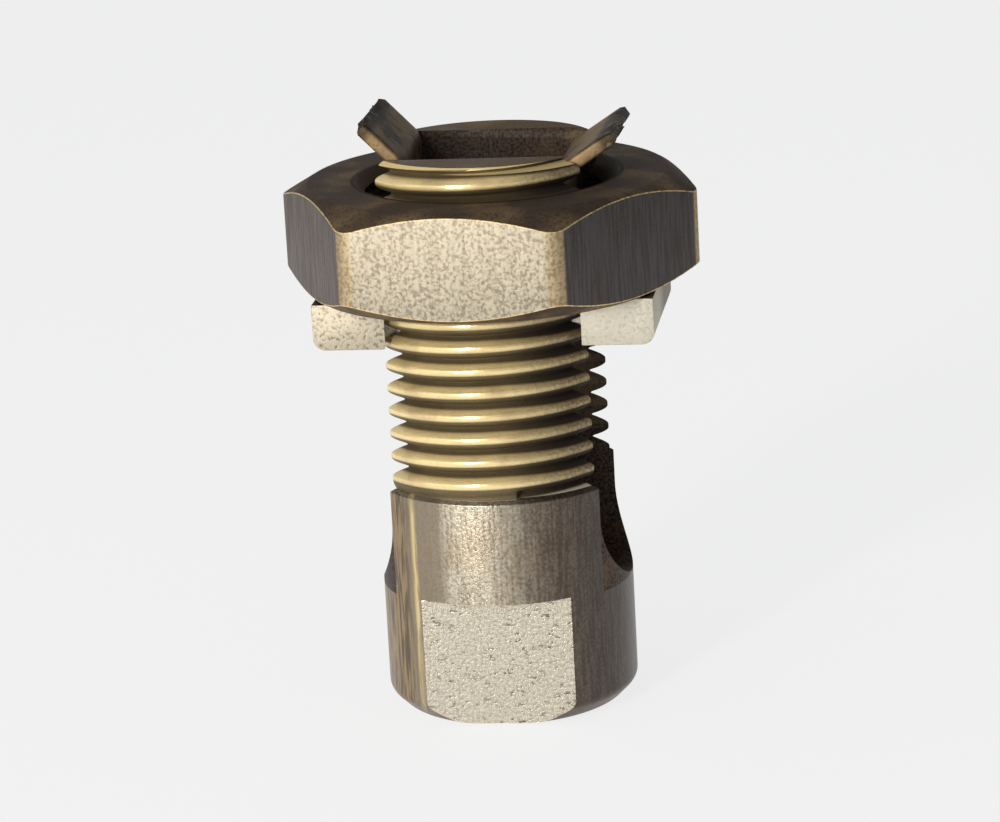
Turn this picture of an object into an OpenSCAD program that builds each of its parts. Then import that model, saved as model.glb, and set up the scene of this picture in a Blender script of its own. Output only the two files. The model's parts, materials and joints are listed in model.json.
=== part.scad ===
// Split bolt connector: a slotted bolt, a thin hex nut and a pressure bar with two prongs.
// Two cables lie in the slot, and the nut drives the bar down on them.
// Millimetres. Z is the bolt's axis with its head down, X runs along the slot,
// and the origin is the centre of the head's flat underside.

/* [Bolt] */
// Height of the bolt from the head's underside to the leg tips
bolt_h = 37; // [35:0.5:45]
// Major diameter of the thread
thread_d = 16; // [14:0.5:18]
// Pitch of the thread
thread_pitch = 1.5; // [1:0.25:2]
// Height of the plain shank below the thread
plain_h = 15.4; // [13:0.2:17]
// Step out from the thread's crests to the plain shank
shank_step = 0.2; // [0.1:0.05:0.6]
// Width of the slot between the two legs
slot_w = 9.2; // [8:0.1:10]
// Solid height below the lowest point of the slot
floor_h = 8.35; // [7:0.05:9.5]
// Chamfer round the foot of the head
foot_chamfer = 1.1; // [0.4:0.1:1.6]
// Chamfer round the tips of the legs
tip_chamfer = 0.5; // [0.2:0.1:0.9]

/* [Wrench flats] */
// Distance across the two flats on the head
flat_af = 13.2; // [12:0.1:13.8]
// Height of the flats above the underside
flat_h = 8.5; // [6:0.1:11]

/* [Nut] */
// Distance across the nut's flats
nut_af = 24; // [22:0.5:27]
// Height of the nut
nut_h = 7; // [5:0.25:8]
// Depth that the sharp corners are rounded down by
nut_corner_cut = 0.26; // [0.05:0.01:0.6]
// Width between the flats and the round end face
nut_face_inset = 0.4; // [0.1:0.05:0.8]
// Angle of the chamfer at each end of the nut
nut_chamfer_angle = 30; // [15:1:40]
// Countersink at each end of the bore
nut_countersink = 0.5; // [0.2:0.1:1]
// Turn of the nut at which one flat faces the front
nut_turn = -5; // [-30:1:30]

/* [Pressure bar] */
// Height of the space for the cables, from the slot's floor to the bar
grip_h = 16.65; // [15:0.05:17]
// Length of the bar along the slot
bar_l = 21.9; // [20:0.1:26]
// Width of the bar's two wings across the slot
bar_w = 11.9; // [10:0.1:15]
// Thickness of the bar
bar_h = 3; // [2:0.1:3.5]
// Rounding of the bar's lower ends
bar_round = 0.8; // [0.2:0.1:1.5]

/* [Prongs] */
// Thickness of each prong
prong_t = 0.85; // [0.5:0.05:1.2]
// Radius inside the bend of each prong
prong_bend = 0.6; // [0.3:0.1:1.2]
// Height of the left prong's straight part above the nut
left_rise = 1.35; // [0.2:0.05:3]
// Lean of the left ear from upright
left_lean = 44; // [20:1:65]
// Length of the left ear past its bend
left_ear = 2.8; // [1:0.1:4]
// Height of the right prong's straight part above the nut
right_rise = 0.2; // [0.2:0.05:3]
// Lean of the right ear from upright
right_lean = 57; // [20:1:65]
// Length of the right ear past its bend
right_ear = 3.6; // [1:0.1:4]

/* [Clearances] */
// Running clearance between the nut's bore and the thread
nut_clear = 0.05; // [0.02:0.01:0.1]
// Clearance between the bar's neck and the legs
neck_clear = 0.2; // [0.1:0.05:0.3]
// Clearance between the bar's wings and the shank
pocket_clear = 0.45; // [0.2:0.05:0.8]
// Clearance between each side of a prong and the legs
prong_side_clear = 0.3; // [0.2:0.05:0.5]
// Clearance between a prong's corners and the nut's thread
prong_corner_clear = 0.1; // [0.05:0.05:0.4]

/* [Hidden] */
$fn = 96;
cut = 1; // overrun of every cutting shape
bend_steps = 12; // flats along each prong's bend
// Metric thread form, as shares of the pitch
groove_depth_share = 0.6134;
crest_flat_share = 1 / 8;
root_flat_share = 1 / 4;
nut_thread_share = 0.5413;
thread_r = thread_d / 2;
shank_r = thread_r + shank_step;
root_r = thread_r - groove_depth_share * thread_pitch;
nut_thread_r = thread_r - nut_thread_share * thread_pitch;
slot_r = slot_w / 2;
slot_axis_z = floor_h + slot_r;
bar_z = floor_h + grip_h;
nut_z = bar_z + bar_h;
neck_w = slot_w - 2 * neck_clear;
pocket_r = shank_r + pocket_clear;
prong_w = slot_w - 2 * prong_side_clear;
prong_x = sqrt(pow(nut_thread_r - prong_corner_clear, 2) - pow(prong_w / 2, 2));
nut_top_z = nut_z + nut_h;

bolt_colour = [0.72, 0.61, 0.40];
nut_colour = [0.62, 0.56, 0.46];
bar_colour = [0.80, 0.74, 0.63];

// ---- Split bolt ----

module bolt_blank() {
    rotate_extrude()
        polygon([
            [0, 0],
            [shank_r - foot_chamfer, 0],
            [shank_r, foot_chamfer],
            [shank_r, plain_h - shank_step],
            [thread_r, plain_h],
            [thread_r, bolt_h - tip_chamfer],
            [thread_r - tip_chamfer, bolt_h],
            [0, bolt_h]
        ]);
}

// One turn's groove as a plain ring, with the thread's own section.
module thread_groove() {
    mouth = (1 - crest_flat_share) * thread_pitch;
    root = root_flat_share * thread_pitch;
    slope = (mouth - root) / 2 / (thread_r - root_r);
    half_out = root / 2 + slope * (thread_r + cut - root_r);
    rotate_extrude()
        polygon([
            [root_r, -root / 2],
            [thread_r + cut, -half_out],
            [thread_r + cut, half_out],
            [root_r, root / 2]
        ]);
}

module slot() {
    length = 2 * (shank_r + cut);
    translate([0, 0, slot_axis_z])
        rotate([0, 90, 0])
            cylinder(r = slot_r, h = length, center = true);
    translate([-length / 2, -slot_r, slot_axis_z])
        cube([length, slot_w, bolt_h - slot_axis_z + cut]);
}

module wrench_flat_cut() {
    translate([-shank_r, flat_af / 2, -cut])
        cube([2 * shank_r, shank_r, flat_h + cut]);
}

module split_bolt() {
    color(bolt_colour)
        difference() {
            bolt_blank();
            for (z = [plain_h + thread_pitch / 2 : thread_pitch : bolt_h - thread_pitch / 2])
                translate([0, 0, z])
                    thread_groove();
            slot();
            for (side = [0, 1])
                mirror([0, side, 0])
                    wrench_flat_cut();
        }
}

// ---- Nut ----

// The turned outline that rounds the hexagon's corners and chamfers both ends.
module nut_turning() {
    corner_r = nut_af / 2 / cos(30) - nut_corner_cut;
    face_r = nut_af / 2 - nut_face_inset;
    drop = (corner_r - face_r) * tan(nut_chamfer_angle);
    rotate_extrude()
        polygon([
            [0, 0],
            [face_r, 0],
            [corner_r, drop],
            [corner_r, nut_h - drop],
            [face_r, nut_h],
            [0, nut_h]
        ]);
}

module nut_bore() {
    bore_r = thread_r + nut_clear;
    translate([0, 0, -cut])
        cylinder(r = bore_r, h = nut_h + 2 * cut);
    for (end = [0, 1])
        translate([0, 0, end * nut_h])
            mirror([0, 0, end])
                translate([0, 0, -cut])
                    cylinder(r1 = bore_r + nut_countersink + cut, r2 = bore_r, h = nut_countersink + cut);
}

module nut() {
    color(nut_colour)
        translate([0, 0, nut_z])
            difference() {
                intersection() {
                    nut_turning();
                    rotate([0, 0, nut_turn])
                        cylinder(r = nut_af / 2 / cos(30), h = nut_h, $fn = 6);
                }
                nut_bore();
            }
}

// ---- Pressure bar ----

// Rectangle with its two lower corners rounded.
module bar_section() {
    difference() {
        translate([-bar_l / 2, 0])
            square([bar_l, bar_h]);
        for (side = [-1, 1])
            scale([side, 1])
                difference() {
                    translate([bar_l / 2 - bar_round, -cut])
                        square([bar_round + cut, bar_round + cut]);
                    translate([bar_l / 2 - bar_round, bar_round])
                        circle(r = bar_round);
                }
    }
}

// Round pocket that one leg runs in, beside the neck.
module leg_pocket() {
    intersection() {
        translate([0, 0, -cut])
            cylinder(r = pocket_r, h = bar_h + 2 * cut);
        translate([-pocket_r, neck_w / 2, -cut])
            cube([2 * pocket_r, pocket_r, bar_h + 2 * cut]);
    }
}

module bar_block() {
    difference() {
        translate([0, bar_w / 2, 0])
            rotate([90, 0, 0])
                linear_extrude(bar_w)
                    bar_section();
        for (side = [0, 1])
            mirror([0, side, 0])
                leg_pocket();
    }
}

// Side outline of an upright strap rooted in the bar, with its end bent towards +X.
module prong_outline(rise, lean, ear) {
    root_z = bar_z + bar_h / 2;
    bend_x = prong_x + prong_bend;
    bend_z = nut_top_z + rise;
    // Point at a radius about the bend, at a turn from upright, and run on past it
    function at(radius, turn, run = 0) = [
        bend_x - radius * cos(turn) + run * sin(turn),
        bend_z + radius * sin(turn) + run * cos(turn)
    ];
    polygon(concat(
        [[prong_x, root_z], [prong_x - prong_t, root_z]],
        [for (i = [0 : bend_steps]) at(prong_bend + prong_t, lean * i / bend_steps)],
        [at(prong_bend + prong_t, lean, ear), at(prong_bend, lean, ear)],
        [for (i = [bend_steps : -1 : 0]) at(prong_bend, lean * i / bend_steps)]
    ));
}

module prong(rise, lean, ear) {
    translate([0, prong_w / 2, 0])
        rotate([90, 0, 0])
            linear_extrude(prong_w)
                prong_outline(rise, lean, ear);
}

module pressure_bar() {
    color(bar_colour) {
        translate([0, 0, bar_z])
            bar_block();
        prong(right_rise, right_lean, right_ear);
        mirror([1, 0, 0])
            prong(left_rise, left_lean, left_ear);
    }
}

split_bolt();
nut();
pressure_bar();
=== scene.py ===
import json
import math
from types import SimpleNamespace

import bmesh
import bpy
from mathutils import Matrix, Vector


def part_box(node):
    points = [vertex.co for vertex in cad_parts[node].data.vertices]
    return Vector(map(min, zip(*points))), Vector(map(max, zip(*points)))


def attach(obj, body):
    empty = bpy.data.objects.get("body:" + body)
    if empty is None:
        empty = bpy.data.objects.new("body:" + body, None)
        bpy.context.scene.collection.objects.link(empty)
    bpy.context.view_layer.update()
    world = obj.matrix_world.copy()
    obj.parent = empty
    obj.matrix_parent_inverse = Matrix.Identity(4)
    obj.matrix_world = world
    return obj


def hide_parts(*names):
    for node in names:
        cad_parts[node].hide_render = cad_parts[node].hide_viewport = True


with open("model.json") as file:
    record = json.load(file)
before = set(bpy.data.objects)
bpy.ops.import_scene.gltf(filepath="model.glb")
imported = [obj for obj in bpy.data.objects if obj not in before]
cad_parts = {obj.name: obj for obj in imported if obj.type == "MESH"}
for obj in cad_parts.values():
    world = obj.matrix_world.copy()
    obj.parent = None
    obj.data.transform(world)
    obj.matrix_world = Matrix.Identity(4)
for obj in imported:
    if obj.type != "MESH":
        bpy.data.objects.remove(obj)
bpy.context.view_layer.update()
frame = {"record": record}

bl_info = {
    "name": "Split Bolt Connector",
    "version": (1, 0, 0),
    "blender": (4, 5, 0),
    "location": "View3D > Sidebar > Connector",
    "description": "Builds the slotted bolt, the nut and the pressure bar of a cable connector",
    "category": "Add Mesh",
}

MM = 0.001
MERGE = 0.0005  # points closer than this, in millimetres, become one
PAST = 2  # how far the bolt's cutters reach past it, in millimetres
FINE_STEPS = 160  # steps round a turned surface
SHARP_DEGREES = 32.0  # edges that turn more than this stay sharp in the shading
ROWS_PER_PITCH = 16  # rows of a rod's mesh in each turn of its thread
RIDGE_FULLNESS = 1.8  # 1 gives straight flanks, more gives rounder ridges
RUN_IN_TURNS = 0.45  # turns over which a shallow groove leads in to the thread
RUN_IN_DEPTH = 0.3  # its depth, as a share of the thread's


# ---- Sizes taken from the fixed frame ----

def node_size(node, axis):
    low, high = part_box(node)
    return high[axis] - low[axis]


def node_top(node):
    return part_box(node)[1][2]


def node_base(node):
    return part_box(node)[0][2]


def thread_lead():
    """Travel of the bar for one full turn of the nut."""
    coupling = frame["record"]["behaviour"]["couplings"][0]
    return coupling["ratio"] * 2 * math.pi


def length(name, description, default):
    return bpy.props.FloatProperty(
        name=name, description=description, default=default, min=0.0, unit="LENGTH", precision=5
    )


def angle(name, description, degrees):
    return bpy.props.FloatProperty(
        name=name, description=description, default=math.radians(degrees), subtype="ANGLE"
    )


def amount(name, description, default):
    return bpy.props.FloatProperty(name=name, description=description, default=default)


def colour(name, description, default):
    return bpy.props.FloatVectorProperty(
        name=name, description=description, default=default, size=3, min=0.0, max=1.0, subtype="COLOR"
    )


class BoltSizes(bpy.types.PropertyGroup):
    height: length("Height", "From the underside of the head to the leg tips", node_top("split_bolt"))
    shank: length("Shank radius", "Radius of the plain shank and head", node_size("split_bolt", 0) / 2)
    plain: length("Plain height", "Height where the thread starts", 15.4 * MM)
    thread: length("Thread radius", "Radius over the thread's crests", 8.0 * MM)
    depth: length("Thread depth", "From the crests to the roots", 0.86 * MM)
    slot: length("Slot width", "Gap between the two legs", 9.2 * MM)
    floor: length("Slot floor", "Solid height below the slot", 8.35 * MM)
    flat: length("Flat distance", "Distance from the axis to each wrench flat", 6.6 * MM)
    flat_top: length("Flat height", "Height of the wrench flats", 8.5 * MM)
    foot: length("Foot chamfer", "Chamfer round the foot of the head", 1.1 * MM)
    tip: length("Tip chamfer", "Chamfer round the leg tips", 0.5 * MM)


class NutSizes(bpy.types.PropertyGroup):
    across: length("Across flats", "Distance across the nut's flats", 24.0 * MM)
    base: length("Underside", "Height of the nut's underside", node_base("nut"))
    top: length("Top", "Height of the nut's top", node_top("nut"))
    turn: angle("Turn", "Turn of the nut about the bolt", -5.0)
    corner: length("Corner radius", "Rounding of the six corners", 1.68 * MM)
    face_inset: length("Face inset", "From the flats to the round end face", 0.4 * MM)
    chamfer: angle("Chamfer", "Slope of the chamfer at each end", 30.0)
    countersink: length("Countersink", "Countersink at each end of the bore", 0.5 * MM)
    bore_clear: length("Bore clearance", "Gap between the nut's thread and the bolt's", 0.05 * MM)


class BarSizes(bpy.types.PropertyGroup):
    half_length: length("Half length", "Half of the bar's length", node_size("pressure_bar", 0) / 2)
    half_width: length("Half width", "Half of the wings' width", node_size("pressure_bar", 1) / 2)
    base: length("Underside", "Height of the bar's underside", node_base("pressure_bar"))
    thick: length("Thickness", "Thickness of the bar", 3.0 * MM)
    neck: length("Neck", "Half width of the neck between the legs", 4.4 * MM)
    pocket: length("Pocket radius", "Radius of the pockets round the legs", 8.65 * MM)
    end_round: length("End rounding", "Rounding of the lower ends", 0.8 * MM)
    prong_x: length("Prong place", "Outer face of each prong from the axis", 5.635 * MM)
    prong_half: length("Prong half width", "Half width of each prong", 4.3 * MM)
    prong_thick: length("Prong thickness", "Thickness of each prong", 0.85 * MM)
    bend: length("Bend radius", "Radius inside each prong's bend", 0.6 * MM)
    left_rise: length("Left rise", "Straight part of the left prong above the nut", 1.35 * MM)
    left_lean: angle("Left lean", "Lean of the left ear from upright", 44.0)
    left_ear: length("Left ear", "Length of the left ear past its bend", 2.8 * MM)
    right_rise: length("Right rise", "Straight part of the right prong above the nut", 0.2 * MM)
    right_lean: angle("Right lean", "Lean of the right ear from upright", 57.0)
    right_ear: length("Right ear", "Length of the right ear past its bend", 3.6 * MM)


class Finish(bpy.types.PropertyGroup):
    # Pale brass also paints a highlight on the thread's first ledge
    pale: colour("Pale brass", "Dry, pale skin of the flats", (0.57, 0.51, 0.39))
    chalk: colour("Chalky brass", "Whitish bloom on the milled flats", (0.74, 0.70, 0.60))
    aged: colour("Aged brass", "Drawn brass that has dulled", (0.58, 0.52, 0.41))
    worn: colour("Worn brass", "Darker specks in the skin", (0.27, 0.22, 0.155))
    # The grey and slate colours below are painted shade on faces turned away from the light
    steel: colour("Grey brass", "Grey skin of the side flats", (0.20, 0.18, 0.175))
    slate: colour("Slate brass", "Darkest grey skin of the sheltered side", (0.05, 0.048, 0.05))
    # Bronze also paints the lit front faces of the prongs
    bronze: colour("Bronze", "Golden brown of handled places", (0.40, 0.27, 0.13))
    rubbed: colour("Rubbed brass", "Smooth rubbed corners", (0.58, 0.46, 0.28))
    # Tarnish is the brass's own brown skin, and also serves as painted shade on sheltered and turned-away
    # faces
    tarnish: colour("Tarnish", "Brown skin of sheltered faces", (0.105, 0.072, 0.052))
    # Bright brass also paints a highlight line down the shank
    bright: colour("Bright brass", "Freshly cut thread", (0.98, 0.76, 0.36))
    # Grime is dirt, and also serves as painted shade in the thread's roots, the slot and the nut's bore
    grime: colour("Grime", "Dirt in the roots and the bore", (0.028, 0.018, 0.012))


# ---- Nodes written as expressions ----

class Value:
    """One socket of a node tree, on which Python's arithmetic adds Math nodes."""

    def __init__(self, nodes, socket):
        self.nodes = nodes
        self.socket = socket

    def maths(self, operation, *others):
        terms = dict(enumerate((self, *others)))
        return self.nodes.add("ShaderNodeMath", {"operation": operation}, terms)

    def __add__(self, other):
        return self.maths("ADD", other)

    __radd__ = __add__

    def __mul__(self, other):
        return self.maths("MULTIPLY", other)

    __rmul__ = __mul__

    def __sub__(self, other):
        return self.maths("SUBTRACT", other)

    def __rsub__(self, other):
        return self.nodes.add("ShaderNodeMath", {"operation": "SUBTRACT"}, {0: other, 1: self})

    def __truediv__(self, other):
        return self.maths("DIVIDE", other)

    def __pow__(self, other):
        return self.maths("POWER", other)

    def __neg__(self):
        return self.maths("MULTIPLY", -1.0)

    def __abs__(self):
        return self.maths("ABSOLUTE")

    def floor(self):
        return self.maths("FLOOR")

    def least(self, other):
        return self.maths("MINIMUM", other)

    def most(self, other):
        return self.maths("MAXIMUM", other)

    def above(self, other):
        return self.maths("GREATER_THAN", other)

    def ease(self, low, high):
        """0 below low, 1 above high and smooth between; low may be the larger one."""
        return self.nodes.add(
            "ShaderNodeMapRange",
            {"interpolation_type": "SMOOTHSTEP"},
            {"Value": self, "From Min": low, "From Max": high},
        )


class Nodes:
    """A node tree with one method that adds any node."""

    def __init__(self, tree):
        self.tree = tree

    def add(self, kind, settings=None, inputs=None, output=0):
        node = self.tree.nodes.new(kind)
        for key, setting in (settings or {}).items():
            setattr(node, key, setting)
        for key, value in (inputs or {}).items():
            socket = self.find(node.inputs, key)
            if isinstance(value, Value):
                self.tree.links.new(value.socket, socket)
            else:
                socket.default_value = value
        return Value(self, self.find(node.outputs, output))

    def find(self, sockets, key):
        if isinstance(key, int):
            return sockets[key]
        for socket in sockets:
            if key in (socket.identifier, socket.name) and socket.enabled:
                return socket
        raise KeyError(key)

    def mix(self, base, over, mask):
        inputs = {"Factor_Float": mask, "A_Color": self.rgba(base), "B_Color": self.rgba(over)}
        return self.add("ShaderNodeMix", {"data_type": "RGBA"}, inputs, "Result_Color")

    def rgba(self, tint):
        return tint if isinstance(tint, Value) else (*tint[:3], 1.0)

    def split(self, vector):
        node = self.tree.nodes.new("ShaderNodeSeparateXYZ")
        self.tree.links.new(vector.socket, node.inputs[0])
        return [Value(self, socket) for socket in node.outputs]

    def join(self, x, y, z):
        return self.add("ShaderNodeCombineXYZ", None, {0: x, 1: y, 2: z})

    def end(self, kind, result):
        """Adds the tree's output node and feeds it the result."""
        node = self.tree.nodes.new(kind)
        self.tree.links.new(result.socket, node.inputs[0])


def blank_nodes(owner):
    """Emptied node tree of a material or a world."""
    owner.use_nodes = True
    owner.node_tree.nodes.clear()
    return Nodes(owner.node_tree)


# ---- Threaded rod, by Geometry Nodes ----

ROD_INPUTS = {
    "Radius": 8.0,
    "Depth": 0.86,
    "Pitch": 1.5,
    "Groove Share": 0.84,
    "First Groove": 14.454,
    "Start Turn": 0.79,
    "Low": 15.0,
    "High": 37.0,
    "Tip": 0.5,
}
TAP_INPUTS = {"Groove Share": 0.80, "Start Turn": -1000.0}  # the nut's thread runs right through it


def rod_tree():
    """Rod along Z whose rows follow the helix, so that crests and roots stay crisp."""
    tree = bpy.data.node_groups.new("threaded_rod", "GeometryNodeTree")
    for name, default in ROD_INPUTS.items():
        socket = tree.interface.new_socket(name=name, in_out="INPUT", socket_type="NodeSocketFloat")
        socket.default_value = default
    for name, default in (("Rows", 200), ("Steps", FINE_STEPS)):
        socket = tree.interface.new_socket(name=name, in_out="INPUT", socket_type="NodeSocketInt")
        socket.default_value = default
    tree.interface.new_socket(name="Material", in_out="INPUT", socket_type="NodeSocketMaterial")
    tree.interface.new_socket(name="Geometry", in_out="OUTPUT", socket_type="NodeSocketGeometry")
    nodes = Nodes(tree)
    group = tree.nodes.new("NodeGroupInput")
    given = {socket.name: Value(nodes, socket) for socket in group.outputs if socket.name}
    pitch, low, high = given["Pitch"], given["Low"], given["High"]

    counts = {"Vertices X": given["Steps"] + 1, "Vertices Y": given["Rows"] + 1}
    sheet = nodes.add("GeometryNodeMeshGrid", None, {"Size X": 1.0, "Size Y": 1.0, **counts})
    across, up, _ = nodes.split(nodes.add("GeometryNodeInputPosition"))
    turn = across + 0.5
    row = (up + 0.5) * given["Rows"]
    height = low - pitch + row * pitch / ROWS_PER_PITCH + pitch * turn
    height = height.most(low).least(high)

    # Place between two grooves: 0 in the middle of a root, 0.5 in the middle of a crest
    climb = (height - given["First Groove"]) / pitch - turn
    index = (climb + 0.5).floor()
    offset = abs(climb - index)
    root_edge = 0.5 / ROWS_PER_PITCH
    crest_edge = given["Groove Share"] / 2
    fall = (1 - (offset - root_edge) / (crest_edge - root_edge)).most(0.0).least(1.0) ** RIDGE_FULLNESS
    along = index + turn
    started = along.above(given["Start Turn"])
    fading = along.ease(given["Start Turn"] - RUN_IN_TURNS, given["Start Turn"]) * RUN_IN_DEPTH
    strength = started.most(fading)
    radius = given["Radius"] - given["Depth"] * fall * strength
    radius = radius.least(given["Radius"] - given["Tip"] + high - height)
    # The first and last rows close the rod's ends
    inner = row.above(0.5) * (given["Rows"] - row).above(0.5)
    radius = radius * inner

    bearing = turn * 2 * math.pi
    place = nodes.join(radius * bearing.maths("COSINE"), radius * bearing.maths("SINE"), height)
    rod = nodes.add("GeometryNodeSetPosition", None, {"Geometry": sheet, "Position": place})
    rod = nodes.add("GeometryNodeMergeByDistance", None, {"Geometry": rod, "Distance": MERGE})
    rod = nodes.add("GeometryNodeRealizeInstances", None, {"Geometry": rod})
    rod = nodes.add("GeometryNodeSetMaterial", None, {"Geometry": rod, "Material": given["Material"]})
    nodes.end("NodeGroupOutput", rod)
    return tree


def threaded_rod(name, material, **sizes):
    """Plain mesh object of a threaded rod; sizes are in millimetres."""
    tree = bpy.data.node_groups.get("threaded_rod") or rod_tree()
    turns = (sizes["High"] - sizes["Low"] + sizes["Pitch"]) / sizes["Pitch"]
    rows = math.ceil(turns * ROWS_PER_PITCH) + 1
    piece = new_object(name, bpy.data.meshes.new(name))
    modifier = piece.modifiers.new("thread", "NODES")
    modifier.node_group = tree
    values = {**ROD_INPUTS, **sizes, "Rows": rows, "Material": material}
    for item in tree.interface.items_tree:
        if item.in_out == "INPUT" and item.name in values:
            modifier[item.identifier] = values[item.name]
    settle(piece)
    face_outwards(piece)
    return piece


# ---- Mesh tools; meshes are made in millimetres and scaled to metres once they are whole ----

def new_object(name, data):
    piece = bpy.data.objects.new(name, data)
    bpy.context.scene.collection.objects.link(piece)
    return piece


def object_from(name, points, faces):
    mesh = bpy.data.meshes.new(name)
    mesh.from_pydata(points, [], faces)
    piece = new_object(name, mesh)
    face_outwards(piece)
    return piece


def settle(piece):
    """Applies the piece's modifiers to its mesh."""
    depsgraph = bpy.context.evaluated_depsgraph_get()
    mesh = bpy.data.meshes.new_from_object(piece.evaluated_get(depsgraph))
    piece.modifiers.clear()
    old = piece.data
    piece.data = mesh
    bpy.data.meshes.remove(old)


def face_outwards(piece):
    """Joins doubled points and turns every face outwards."""
    work = bmesh.new()
    work.from_mesh(piece.data)
    bmesh.ops.remove_doubles(work, verts=work.verts, dist=MERGE)
    bmesh.ops.dissolve_degenerate(work, edges=work.edges, dist=MERGE)
    bmesh.ops.recalc_face_normals(work, faces=work.faces)
    work.to_mesh(piece.data)
    work.free()


def combine(piece, other, operation):
    """Adds, cuts or intersects another piece, which is used up."""
    modifier = piece.modifiers.new(operation, "BOOLEAN")
    modifier.operation = operation
    modifier.solver = "EXACT"
    modifier.object = other
    settle(piece)
    bpy.data.objects.remove(other)
    return piece


def soften(piece, width, segments=2, degrees=25.0):
    """Rounds the sharp edges of a piece."""
    modifier = piece.modifiers.new("bevel", "BEVEL")
    modifier.width = width
    modifier.segments = segments
    modifier.limit_method = "ANGLE"
    modifier.angle_limit = math.radians(degrees)
    modifier.miter_outer = "MITER_ARC"
    settle(piece)


def filleted(corners, steps=6):
    """Closed outline through corners given as (x, y, radius), each rounded by an arc."""
    outline = []
    for index, (x, y, radius) in enumerate(corners):
        here = Vector((x, y))
        before = Vector(corners[index - 1][:2]) - here
        after = Vector(corners[(index + 1) % len(corners)][:2]) - here
        if radius == 0:
            outline.append((x, y))
            continue
        half = before.angle(after) / 2
        inward = (before.normalized() + after.normalized()).normalized()
        centre = here + inward * (radius / math.sin(half))
        start = here + before.normalized() * (radius / math.tan(half)) - centre
        sweep = math.pi - 2 * half
        if before.x * after.y - before.y * after.x > 0:
            sweep = -sweep
        for step in range(steps + 1):
            turn = sweep * step / steps
            arm = Matrix.Rotation(turn, 2) @ start
            outline.append(tuple(centre + arm))
    return outline


def turned(name, outline, steps=FINE_STEPS):
    """Solid of revolution about Z from (radius, height) points."""
    points, faces, rings = [], [], []
    for radius, height in outline:
        if radius < 1e-6:  # on the axis, where one point serves the whole ring
            rings.append([len(points)] * steps)
            points.append((0, 0, height))
            continue
        rings.append([len(points) + step for step in range(steps)])
        for step in range(steps):
            bearing = 2 * math.pi * step / steps
            points.append((radius * math.cos(bearing), radius * math.sin(bearing), height))
    for below, above in zip(rings, rings[1:]):
        for step in range(steps):
            onward = (step + 1) % steps
            loop = (below[step], below[onward], above[onward], above[step])
            faces.append(tuple(dict.fromkeys(loop)))
    return object_from(name, points, [face for face in faces if len(face) > 2])


def drawn(name, outline, low, high, axes="XYZ"):
    """Prism of an outline between two heights; axes names the outline's two axes, then the height's."""
    order = ["XYZ".index(letter) for letter in axes]

    def placed(first, second, third):
        point = [0.0, 0.0, 0.0]
        for axis, value in zip(order, (first, second, third)):
            point[axis] = value
        return tuple(point)

    count = len(outline)
    points = [placed(x, y, low) for x, y in outline] + [placed(x, y, high) for x, y in outline]
    faces = [tuple(range(count)), tuple(range(count, 2 * count))]
    faces += [(i, (i + 1) % count, count + (i + 1) % count, count + i) for i in range(count)]
    return object_from(name, points, faces)


def finish_piece(piece, material, body, node):
    """Scales a whole piece to metres, smooths its shading and ties it to the frame."""
    face_outwards(piece)
    mesh = piece.data
    mesh.transform(Matrix.Scale(MM, 4))
    mesh.polygons.foreach_set("use_smooth", [True] * len(mesh.polygons))
    mesh.set_sharp_from_angle(angle=math.radians(SHARP_DEGREES))
    mesh.materials.clear()
    mesh.materials.append(material)
    mesh.update()
    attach(piece, body)
    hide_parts(node)


def in_mm(group):
    """The group's sizes as plain numbers, lengths in millimetres and angles in radians."""
    sizes = {}
    for key in group.__annotations__:
        value = getattr(group, key)
        turns = group.bl_rna.properties[key].unit == "ROTATION"
        sizes[key] = value if turns else value / MM
    return SimpleNamespace(**sizes)


# ---- The three pieces ----

def slot_outline(size, steps=48):
    """Slot between the legs, half round at its floor, as (y, z) points."""
    half = size.slot / 2
    axis = size.floor + half
    bearings = [math.pi * step / steps for step in range(steps + 1)]
    floor = [(half * math.cos(bearing), axis - half * math.sin(bearing)) for bearing in bearings]
    return floor + [(-half, size.height + PAST), (half, size.height + PAST)]


def make_bolt(size, material):
    foot, rounding = size.foot, 0.9
    top = size.plain - 0.02  # just under the thread's first row
    rim = [
        (size.shank - foot, 0, rounding),
        (size.shank, foot, rounding),
        (size.shank, size.plain - 0.22, 0.1),
        (size.thread - 0.1, top, 0),
    ]
    profile = filleted([(0, 0, 0), *rim, (0, top, 0)])
    bolt = turned("split_bolt_visual", [(0, 0), *profile[1:]])
    sunk = 0.6  # how far the rod starts inside the shank
    rod = threaded_rod(
        "rod",
        material,
        Radius=size.thread,
        Depth=size.depth,
        Pitch=thread_lead() / MM,
        Low=size.plain - sunk,
        High=size.height,
        Tip=size.tip,
    )
    combine(bolt, rod, "UNION")
    reach = size.shank + PAST
    combine(bolt, drawn("slot", slot_outline(size), -reach, reach, "YZX"), "DIFFERENCE")
    for side in (-1, 1):
        low, high = sorted((side * size.flat, side * reach))
        block = [(low, -PAST), (high, -PAST), (high, size.flat_top), (low, size.flat_top)]
        combine(bolt, drawn("flat", block, -reach, reach, "YZX"), "DIFFERENCE")
    return bolt


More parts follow.
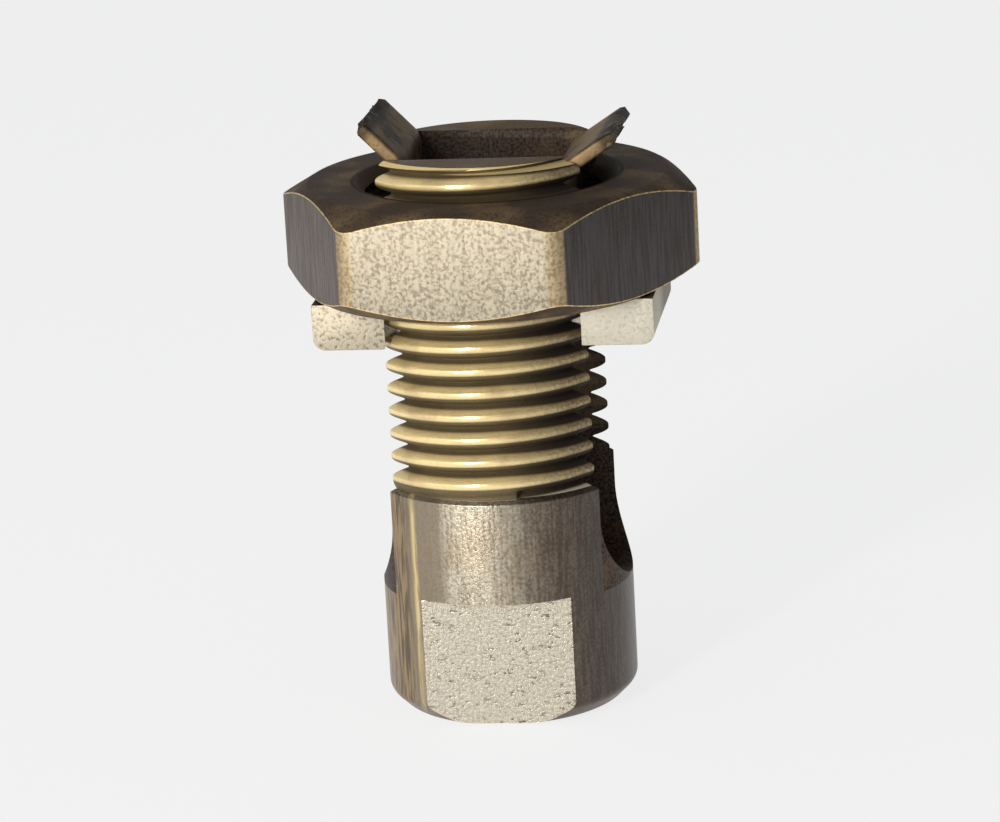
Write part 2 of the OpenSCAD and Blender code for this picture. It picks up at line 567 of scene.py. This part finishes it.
def make_nut(size, bolt, material):
    across, turn = size.across / 2, size.turn
    corner = across / math.cos(math.radians(30))
    hexagon = []
    for step in range(6):
        bearing = turn + math.radians(60 * step)
        hexagon.append((corner * math.cos(bearing), corner * math.sin(bearing), size.corner))
    nut = drawn("nut_visual", filleted(hexagon, 8), size.base, size.top)
    face = across - size.face_inset
    flare = 3  # how far the chamfers' cones run out past the end faces
    drop = flare * math.tan(size.chamfer)
    outline = [(0, size.base), (face, size.base), (face + flare, size.base + drop)]
    outline += [(face + flare, size.top - drop), (face, size.top), (0, size.top)]
    combine(nut, turned("chamfer", outline, 240), "INTERSECT")
    soften(nut, 0.12, 2, 20)

    crest = bolt.thread + size.bore_clear
    minor = bolt.thread - bolt.depth + 0.08  # clear of the bolt's roots
    sink = crest + size.countersink
    reach = sink - minor
    low, high = size.base - 1, size.top + 1
    bore = [(0, low), (sink + 1, low), (minor, size.base + reach)]
    bore += [(minor, size.top - reach), (sink + 1, high), (0, high)]
    combine(nut, turned("bore", bore), "DIFFERENCE")
    tap = threaded_rod(
        "tap",
        material,
        **TAP_INPUTS,
        Radius=crest,
        Depth=crest - minor,
        Pitch=thread_lead() / MM,
        Low=low,
        High=high,
        Tip=0.0,
    )
    return combine(nut, tap, "DIFFERENCE")


def bar_plan(size, steps=12):
    """Wings joined by the neck between the legs, as (x, y) points."""
    wide, narrow = size.half_width, size.neck
    outer = math.asin(wide / size.pocket)
    inner = math.asin(narrow / size.pocket)
    bearings = [outer + (inner - outer) * step / steps for step in range(steps + 1)]
    arc = [(size.pocket * math.cos(b), size.pocket * math.sin(b)) for b in bearings]
    right = [(size.half_length, wide), *arc]
    upper = right + [(-x, y) for x, y in reversed(right)]
    return upper + [(-x, -y) for x, y in upper]


def prong(side, rise, lean, ear, size, nut_top):
    """One strap through the nut, its end bent outwards; side is 1 or -1."""
    half = size.prong_thick / 2
    bend = size.bend + half
    start = size.base + size.thick / 2
    top = nut_top + rise
    middle = size.prong_x - half
    path = [(middle, start, 0.0), (middle, (start + top) / 2, 0.0)]
    bend_steps = 10
    for step in range(bend_steps + 1):
        turn = lean * step / bend_steps
        x = size.prong_x + size.bend - bend * math.cos(turn)
        path.append((x, top + bend * math.sin(turn), turn))
    x, z, _ = path[-1]
    shares = (0.25, 0.5, 0.75, 0.93, 1.0)
    for share in shares:
        path.append((x + ear * share * math.sin(lean), z + ear * share * math.cos(lean), lean))
    wide, edge = size.prong_half, 0.2
    corners = [(-half, -wide, edge), (half, -wide, edge), (half, wide, edge), (-half, wide, edge)]
    section = filleted(corners, 3)
    # Extra points along the wide sides let the tip be ragged
    columns = 16
    ring = []
    for index, (u, v) in enumerate(section):
        ring.append((u, v))
        after = section[(index + 1) % len(section)]
        if abs(after[1] - v) > wide:
            ring += [(u, v + (after[1] - v) * step / columns) for step in range(1, columns)]
    points, faces = [], []
    for place, (x, z, turn) in enumerate(path):
        last = place == len(path) - 1
        thin, short = (0.72, 0.985) if last else (1.0, 1.0)
        past = max(0, place - (len(path) - len(shares))) / (len(shares) - 1)
        for u, v in ring:
            ragged = past * (0.14 * math.sin(1.3 * v + 2 * side) + 0.07 * math.sin(4.1 * v + side))
            ragged += past * 0.05 * math.sin(11.0 * v)
            across = u * thin
            out_x = x + across * math.cos(turn) + ragged * math.sin(turn)
            out_z = z - across * math.sin(turn) + ragged * math.cos(turn)
            points.append((side * out_x, v * short, out_z))
    count = len(ring)
    end = (len(path) - 1) * count
    for first in range(0, end, count):
        for i in range(count):
            j = (i + 1) % count
            faces.append((first + i, first + j, first + count + j, first + count + i))
    faces += [tuple(range(count)), tuple(range(end, end + count))]
    return object_from("prong", points, faces)


def make_bar(size, nut_top):
    bar = drawn("pressure_bar_visual", bar_plan(size), size.base, size.base + size.thick)
    long, top = size.half_length, size.base + size.thick
    side = filleted(
        [
            (-long, size.base, size.end_round),
            (long, size.base, size.end_round),
            (long, top + 1, 0),
            (-long, top + 1, 0),
        ],
        8,
    )
    combine(bar, drawn("ends", side, -size.half_width - 1, size.half_width + 1, "XZY"), "INTERSECT")
    soften(bar, 0.15, 2, 25)
    combine(bar, prong(-1, size.left_rise, size.left_lean, size.left_ear, size, nut_top), "UNION")
    combine(bar, prong(1, size.right_rise, size.right_lean, size.right_ear, size, nut_top), "UNION")
    return bar


# ---- Materials ----

METALLIC = 0.85
BUMP_DEPTH = 0.03  # in millimetres
COAT_ROUGHNESS = 0.18


class Brass:
    """Brass shader under construction; places are in millimetres on the piece."""

    def __init__(self, name):
        self.material = bpy.data.materials.new(name)
        self.nodes = blank_nodes(self.material)
        local = self.nodes.add("ShaderNodeTexCoord", None, None, "Object")
        scale = {"Vector": local, "Scale": 1 / MM}
        self.place = self.nodes.add("ShaderNodeVectorMath", {"operation": "SCALE"}, scale)
        self.x, self.y, self.z = self.nodes.split(self.place)
        self.radius = (self.x * self.x + self.y * self.y) ** 0.5
        self.bearing = self.y.maths("ARCTAN2", self.x)
        normal = self.nodes.add("ShaderNodeNewGeometry", None, None, "True Normal")
        self.normal_x, self.normal_y, self.normal_z = self.nodes.split(normal)

    def noise(self, size, detail=2.0, stretch=(1.0, 1.0, 1.0), shift=0.0):
        """Noise around 0.5 whose lumps are about size across; stretch lengthens them along an axis."""
        scale = tuple(1 / (size * share) for share in stretch)
        place = self.nodes.add(
            "ShaderNodeVectorMath",
            {"operation": "MULTIPLY_ADD"},
            {0: self.place, 1: scale, 2: (shift, shift, shift)},
        )
        inputs = {"Vector": place, "Scale": 1.0, "Detail": detail}
        return self.nodes.add("ShaderNodeTexNoise", None, inputs)

    def near(self, value, target, width):
        """1 where value is at target, falling to 0 at width from it."""
        return abs(value - target).ease(width, 0.0)

    def finish(self, colour, roughness, metallic, height, coat=0.0):
        """Closes the shader; height goes to its bump."""
        relief = {"Strength": 1.0, "Distance": BUMP_DEPTH * MM, "Height": height}
        inputs = {
            "Base Color": colour,
            "Roughness": roughness,
            "Metallic": metallic,
            "Coat Weight": coat,
            "Coat Roughness": COAT_ROUGHNESS,
            "Normal": self.nodes.add("ShaderNodeBump", None, relief),
        }
        surface = self.nodes.add("ShaderNodeBsdfPrincipled", None, inputs)
        self.nodes.end("ShaderNodeOutputMaterial", surface)
        return self.material


def bolt_brass(finish, size):
    """Drawn shank, milled flats, golden cut thread and slot walls painted brown as shade and tarnish."""
    skin = Brass("brass_bolt")
    mix = skin.nodes.mix
    blotch = skin.noise(3.0)
    speck = skin.noise(0.2, 3.0)
    grain = skin.noise(0.08, 2.0)
    drawn_lines = skin.noise(0.22, 3.0, (1.0, 1.0, 12.0))

    # Drawn shank, with painted shade towards its right, its back and its left edge
    shade = drawn_lines.ease(0.36, 0.60) * 0.45 + speck.ease(0.36, 0.60) * 0.55
    colour = mix(finish.worn, finish.aged, shade)
    colour = mix(colour, finish.bronze, blotch.ease(0.46, 0.66) * 0.2)
    height = drawn_lines * 0.5 + speck * 0.8 + grain * 0.3
    # Painted shade down the shank's left side, in the dark speck colour
    colour = mix(colour, finish.worn, skin.x.ease(-2.7, -3.5) * 0.8)
    roughness = 0.25 + speck * 0.2
    # Painted shade over the right and back of the shank, streaked by the drawn lines and specks
    painted_shade = (skin.x.ease(0.0, 4.0) + skin.y.ease(-2.0, 3.0)).least(1.0)
    painted_shade = painted_shade * (0.78 + 0.12 * drawn_lines.ease(0.60, 0.4) + 0.10 * speck.ease(0.6, 0.4))
    colour = mix(colour, finish.tarnish, painted_shade)
    # Painted shade, darkest on the right side
    colour = mix(colour, finish.slate, skin.x.ease(3.0, 7.0) * 0.6)
    # Painted shade in a dark strip down the shank's left side, streaked by the drawn lines
    left = skin.x.ease(-5.2, -6.2) * skin.y.ease(2.0, -1.0)
    colour = mix(colour, mix(finish.tarnish, finish.bronze, drawn_lines.ease(0.38, 0.6)), left * 0.8)
    # Painted highlight: a thin bright line down the shank beside the front flat's left edge
    line = skin.near(skin.x, -5.15, 0.3) * skin.y.ease(0.0, -3.0)
    colour = mix(colour, finish.bright, line * (0.3 + 0.5 * drawn_lines.ease(0.4, 0.6)))
    foot = skin.z.ease(size.foot + 0.5, size.foot - 0.7) * skin.radius.above(size.shank - 0.9)
    colour = mix(colour, finish.tarnish, foot * 0.7)

    # Milled wrench flats
    flat = abs(skin.normal_y).above(0.9) * skin.z.ease(size.flat_top + 0.05, size.flat_top - 0.05)
    flat = flat * abs(skin.y).above(size.flat - 0.2)
    scratch = skin.noise(0.12, 2.0, (6.0, 1.0, 1.0), 4.0)
    cuts = skin.noise(0.24, 2.0, (1.8, 1.0, 1.0), 4.0).ease(0.58, 0.70)
    cuts = cuts * (0.4 + 0.6 * blotch.ease(0.35, 0.6))
    flat_shade = speck.ease(0.32, 0.56) * 0.75 + scratch.ease(0.4, 0.6) * 0.25
    flat_colour = mix(finish.worn, finish.pale, flat_shade)
    flat_colour = mix(flat_colour, finish.chalk, 0.3)
    flat_colour = mix(flat_colour, finish.tarnish, cuts * 0.75)
    colour = mix(colour, flat_colour, flat)
    height = height - cuts * flat * 0.3

    # Cut thread; step is 0 in a root, from -0.5 below it to 0.5 above it
    pitch = thread_lead() / MM
    climb = (skin.z - ROD_INPUTS["First Groove"]) / pitch - skin.bearing / (2 * math.pi)
    step = climb - (climb + 0.5).floor()
    thread = skin.z.above(size.plain) * (size.thread + 0.03 - skin.radius).above(0.0)
    # Painted shade on the thread towards its right and its back
    far = (skin.x.ease(0.5, 6.0) + skin.y.ease(-1.0, 4.0)).least(1.0)
    # Painted shade under each crest, over the downward flank and the root
    under = step.ease(-0.20 - 0.12 * far, -0.11 - 0.1 * far) * step.ease(0.46, 0.36)
    # Painted shade and grime where the thread meets the nut's top
    seat = skin.near(skin.z, size.nut_seat, 0.7).ease(0.0, 0.6)
    shade_and_soil = (under * (0.85 + 0.15 * far)).most(seat * 0.9)
    gold = mix(finish.bright, finish.bronze, blotch.ease(0.45, 0.66) * 0.35 + speck.ease(0.5, 0.7) * 0.2)
    gold = mix(gold, finish.tarnish, far * (0.62 + 0.2 * speck.ease(0.35, 0.6)))
    gold = mix(gold, finish.grime, shade_and_soil)
    # Painted highlight on the thread's first ledge, at its front right
    ledge_highlight = skin.z.ease(size.plain + 0.55, size.plain + 0.4) * step.ease(-0.12, -0.2)
    ledge_highlight = ledge_highlight * skin.y.ease(0.0, -4.0) * skin.x.ease(0.8, 1.6)
    gold = mix(gold, finish.pale, ledge_highlight)
    colour = mix(colour, gold, thread)
    roughness = roughness + (0.17 + speck * 0.08 + shade_and_soil * 0.4 + far * 0.15 - roughness) * thread
    height = height * (1.0 - thread * 0.6)

    # Slot walls and floor, painted brown as shade and tarnish, and the leg tips
    wall = (size.slot / 2 + 0.02 - abs(skin.y)).above(0.0) * skin.z.above(size.floor - 0.1)
    tips = skin.z.above(size.height - 0.01)
    brown = mix(finish.grime, finish.tarnish, speck.ease(0.35, 0.62))
    brown = mix(brown, finish.bronze, blotch.ease(0.5, 0.75) * 0.3 + tips * 0.3)
    colour = mix(colour, brown, wall.most(tips))
    rub = skin.normal_z.above(0.3) * skin.z.above(size.height - size.tip - 0.02) * (1.0 - tips)
    colour = mix(colour, finish.bright, rub * 0.8)
    roughness = roughness + wall.most(tips) * 0.15
    coat = thread * (0.9 - 0.9 * shade_and_soil.most(far))
    return skin.finish(colour, roughness, METALLIC - 0.4 * thread, height, coat)


def nut_brass(finish, size):
    """Speckled flats, rounded corners worn golden, ends brown as tarnish and painted shade, and a bore
    painted black as shade.
    """
    skin = Brass("brass_nut")
    mix = skin.nodes.mix
    blotch = skin.noise(3.5)
    speck = skin.noise(0.22, 3.0)
    grain = skin.noise(0.08, 2.0)
    drawn_lines = skin.noise(0.2, 3.0, (1.0, 1.0, 16.0))

    # Bearing measured from the middle of the nearest flat
    sixth = math.radians(60)
    local = (skin.bearing - size.turn - sixth / 2) / sixth
    fold = (local - (local + 0.5).floor()) * sixth
    along = skin.radius * fold.maths("SINE")
    half_flat = (size.across / 2 - size.corner) * math.tan(math.radians(30))
    aside = abs(skin.bearing - size.turn + math.radians(90))
    front = aside.ease(math.radians(31.5), math.radians(29.5))

    shade = speck.ease(0.34, 0.60) * 0.8 + drawn_lines.ease(0.38, 0.6) * 0.2
    colour = mix(finish.worn, finish.pale, shade)
    # Painted shade: the flats other than the front one get a darker shaded copy of the skin, streaked by
    # drawn lines
    lined = drawn_lines.ease(0.34, 0.62) * 0.7 + speck.ease(0.35, 0.6) * 0.3
    shaded_side_colour = mix(finish.tarnish, finish.steel, lined)
    # Painted shade, darkest towards the right
    shaded_side_colour = mix(shaded_side_colour, finish.slate, skin.x.ease(2.0, 8.0) * 0.6)
    colour = mix(shaded_side_colour, colour, front)
    height = speck * (0.5 + 0.5 * front) + drawn_lines * (1.0 - 0.7 * front) + grain * 0.3
    corner = abs(along).ease(half_flat + 0.15, half_flat + 0.4)
    colour = mix(colour, mix(finish.rubbed, finish.bronze, speck.ease(0.6, 0.35)), corner * 0.8)

    # Both ends and their chamfers, brown as tarnish and painted shade, with a thin rubbed line along the
    # curved edge
    slope = abs(skin.normal_z)
    end = slope.above(0.8)
    edge = slope.above(0.08) * (1.0 - end)
    brown = mix(finish.grime, finish.tarnish, speck.ease(0.30, 0.50) * 0.5 + 0.5)
    brown = mix(brown, finish.bronze, blotch.ease(0.42, 0.70) * (0.2 + 0.3 * speck.ease(0.35, 0.55)))
    colour = mix(colour, brown, end)
    colour = mix(colour, finish.bright, edge * (0.35 + 0.5 * speck.ease(0.35, 0.55)))

    # Painted shade: the bore and its countersinks darkened nearly black
    rim = 3.2  # from the flats in to the bore's edge
    bore = (size.across / 2 - rim - skin.radius).above(0.0)
    colour = mix(colour, finish.grime, bore * 0.9)
    roughness = 0.5 + speck * 0.2 + end * 0.08
    return skin.finish(colour, roughness, METALLIC, height)


def bar_brass(finish, size, nut_top):
    """Pale wings, and brown prongs with bruised tips."""
    skin = Brass("brass_bar")
    mix = skin.nodes.mix
    blotch = skin.noise(2.4)
    speck = skin.noise(0.24, 3.0)
    grain = skin.noise(0.08, 2.0)
    colour = mix(finish.worn, finish.pale, speck.ease(0.30, 0.54))
    colour = mix(colour, finish.chalk, skin.x.ease(0.0, 6.0) * 0.6)
    # Painted shade towards the back of the bar
    colour = mix(colour, finish.tarnish, skin.y.ease(-3.0, 2.0) * 0.7)
    brown = mix(finish.grime, finish.tarnish, speck.ease(0.3, 0.6))
    brown = mix(brown, finish.bronze, blotch.ease(0.36, 0.62) * 0.6)
    # Painted light: the prongs' front faces lighter bronze
    brown = mix(brown, finish.bronze, (-skin.normal_y).above(0.4) * 0.6)
    prongs = skin.z.above(size.base + size.thick + 0.02)
    reach = abs(skin.x) + skin.z - nut_top
    brown = mix(brown, finish.grime, reach.ease(9.9, 10.9) * 0.8)
    ends = abs(skin.normal_z).ease(0.6, 0.9) * (1 - prongs)
    colour = mix(colour, brown, prongs.most(ends))
    bruise = skin.noise(0.8, 2.0, shift=7.0).ease(0.56, 0.68) * skin.z.above(nut_top + 1.0)
    colour = mix(colour, finish.worn, bruise * 0.7)
    height = speck + grain * 0.3 + bruise * 0.5
    return skin.finish(colour, 0.5 + speck * 0.2, METALLIC, height)


# ---- Stage ----

CAMERA_AZIMUTH, CAMERA_ELEVATION, CAMERA_ROLL = 8.076, 14.917, 3.121
CAMERA_DISTANCE = 0.2793
CAMERA_LENS = 154.35
CAMERA_PIVOT, CAMERA_AIM = 0.020, 0.0192  # heights that the camera circles and looks at
LIGHT_AIM = 0.02
FLOOR_REACH, FLOOR_GAP = 3, 0.0001


def toward(azimuth, elevation):
    """Direction from the object to a place seen at this azimuth and elevation."""
    a, e = math.radians(azimuth), math.radians(elevation)
    return Vector((math.sin(a) * math.cos(e), -math.cos(a) * math.cos(e), math.sin(e)))


def place_camera():
    data = bpy.data.cameras.new("camera")
    data.lens = CAMERA_LENS
    data.clip_start = 0.01
    camera = new_object("camera", data)
    place = Vector((0, 0, CAMERA_PIVOT)) + toward(CAMERA_AZIMUTH, CAMERA_ELEVATION) * CAMERA_DISTANCE
    back = (place - Vector((0, 0, CAMERA_AIM))).normalized()
    right = Vector((0, 0, 1)).cross(back).normalized()
    up = back.cross(right)
    roll = math.radians(CAMERA_ROLL)
    cos, sin = math.cos(roll), math.sin(roll)
    right, up = right * cos - up * sin, right * sin + up * cos
    turn = Matrix((right, up, back)).transposed().to_4x4()
    camera.matrix_world = Matrix.Translation(place) @ turn
    bpy.context.scene.camera = camera


def place_light(name, azimuth, elevation, distance, width, height, watts, tint):
    data = bpy.data.lights.new(name, "AREA")
    data.shape = "RECTANGLE"
    data.size, data.size_y = width, height
    data.energy = watts
    data.color = tint
    light = new_object(name, data)
    back = toward(azimuth, elevation)
    place = Vector((0, 0, LIGHT_AIM)) + back * distance
    light.matrix_world = Matrix.Translation(place) @ back.to_track_quat("Z", "Y").to_matrix().to_4x4()


def ray_kinds(nodes):
    """Values that are 1 for camera, glossy and transmission rays."""
    path = nodes.tree.nodes.new("ShaderNodeLightPath")
    return [Value(nodes, path.outputs[f"Is {kind} Ray"]) for kind in ("Camera", "Glossy", "Transmission")]


def place_floor(stage):
    reach = FLOOR_REACH
    points = [(-reach, -reach, 0.0), (reach, -reach, 0.0), (reach, reach, 0.0), (-reach, reach, 0.0)]
    floor = object_from("floor", points, [(0, 1, 2, 3)])
    floor.location.z = node_base("split_bolt") - FLOOR_GAP
    material = bpy.data.materials.new("pale_floor")
    nodes = blank_nodes(material)
    camera, glossy, through = ray_kinds(nodes)
    seen = camera.most(glossy).most(through)
    paper = nodes.add("ShaderNodeBsdfDiffuse", None, {"Color": (*stage.floor, 1)})
    glow = nodes.add("ShaderNodeEmission", None, {"Color": (1, 1, 1, 1), "Strength": 1.0})
    both = nodes.add("ShaderNodeMixShader", None, {0: seen * stage.glow, 1: paper, 2: glow})
    nodes.end("ShaderNodeOutputMaterial", both)
    floor.data.materials.append(material)


def light_world(stage):
    world = bpy.data.worlds.new("studio")
    bpy.context.scene.world = world
    nodes = blank_nodes(world)
    camera, glossy, through = ray_kinds(nodes)
    direction = nodes.add("ShaderNodeTexCoord", None, None, "Generated")
    x, y, z = nodes.split(direction)
    level = stage.fill * (1.0 - 0.45 * x.ease(-0.2, 1.0)) * (1.0 - 0.3 * z.ease(0.2, 0.9))
    seen = camera.most(glossy.most(through) * z.ease(0.16, 0.04) * y.ease(0.3, 0.8))
    colour = nodes.mix(stage.sky, (1.0, 1.0, 1.0), seen)
    strength = level + (1.0 - level) * seen
    background = nodes.add("ShaderNodeBackground", None, {"Color": colour, "Strength": strength})
    nodes.end("ShaderNodeOutputWorld", background)


# ---- Add-on ----

class StageSettings(bpy.types.PropertyGroup):
    floor: colour("Floor", "Colour of the pale floor", (0.8, 0.8, 0.8))
    sky: colour("Fill tint", "Colour of the soft fill light", (0.92, 0.96, 1.0))
    glow: amount("Floor glow", "Share of plain white in the floor", 0.8)
    fill: amount("Fill", "Strength of the soft fill light", 0.4)
    key: amount("Key", "Power of the key light in watts", 2.3)
    side: amount("Side", "Power of the broad side light in watts", 0.45)


class CONNECTOR_OT_bolt(bpy.types.Operator):
    """Make the slotted bolt with its head, legs and thread"""

    bl_idname = "connector.bolt"
    bl_label = "Split Bolt"

    def execute(self, context):
        scene = context.scene
        size = in_mm(scene.connector_bolt)
        size.nut_seat = in_mm(scene.connector_nut).top + 0.1
        material = bolt_brass(scene.connector_finish, size)
        bolt = make_bolt(size, material)
        finish_piece(bolt, material, "split_bolt", "split_bolt")
        return {"FINISHED"}


class CONNECTOR_OT_nut(bpy.types.Operator):
    """Make the thin hexagonal nut"""

    bl_idname = "connector.nut"
    bl_label = "Nut"

    def execute(self, context):
        scene = context.scene
        size = in_mm(scene.connector_nut)
        material = nut_brass(scene.connector_finish, size)
        nut = make_nut(size, in_mm(scene.connector_bolt), material)
        finish_piece(nut, material, "nut", "nut")
        return {"FINISHED"}


class CONNECTOR_OT_bar(bpy.types.Operator):
    """Make the pressure bar with its wings and bent prongs"""

    bl_idname = "connector.bar"
    bl_label = "Pressure Bar"

    def execute(self, context):
        scene = context.scene
        size = in_mm(scene.connector_bar)
        nut_top = in_mm(scene.connector_nut).top
        material = bar_brass(scene.connector_finish, size, nut_top)
        bar = make_bar(size, nut_top)
        finish_piece(bar, material, "pressure_bar", "pressure_bar")
        return {"FINISHED"}


class CONNECTOR_OT_stage(bpy.types.Operator):
    """Set the floor, the lights, the background and the camera"""

    bl_idname = "connector.stage"
    bl_label = "Stage"

    def execute(self, context):
        stage = context.scene.connector_stage
        context.scene.view_settings.view_transform = "Standard"
        place_camera()
        place_light("key", -22, 11, 0.5, 0.06, 0.38, stage.key, (1.0, 0.98, 0.95))
        place_light("side", -52, 14, 0.6, 0.5, 0.4, stage.side, (1.0, 0.97, 0.93))
        place_floor(stage)
        light_world(stage)
        return {"FINISHED"}


class CONNECTOR_PT_panel(bpy.types.Panel):
    """Lists what makes the connector"""

    bl_idname = "CONNECTOR_PT_panel"
    bl_label = "Split Bolt Connector"
    bl_space_type = "VIEW_3D"
    bl_region_type = "UI"
    bl_category = "Connector"

    def draw(self, context):
        for operator in OPERATORS:
            self.layout.operator(operator.bl_idname)


GROUPS = {
    "connector_bolt": BoltSizes,
    "connector_nut": NutSizes,
    "connector_bar": BarSizes,
    "connector_finish": Finish,
    "connector_stage": StageSettings,
}
OPERATORS = (CONNECTOR_OT_stage, CONNECTOR_OT_bolt, CONNECTOR_OT_nut, CONNECTOR_OT_bar)


def register():
    for group in GROUPS.values():
        bpy.utils.register_class(group)
    for name, group in GROUPS.items():
        setattr(bpy.types.Scene, name, bpy.props.PointerProperty(type=group))
    for operator in (*OPERATORS, CONNECTOR_PT_panel):
        bpy.utils.register_class(operator)


def unregister():
    for operator in (CONNECTOR_PT_panel, *reversed(OPERATORS)):
        bpy.utils.unregister_class(operator)
    for name, group in GROUPS.items():
        delattr(bpy.types.Scene, name)
        bpy.utils.unregister_class(group)


def main():
    register()
    bpy.ops.connector.stage()
    bpy.ops.connector.bolt()
    bpy.ops.connector.nut()
    bpy.ops.connector.bar()


if __name__ == "__main__":
    main()
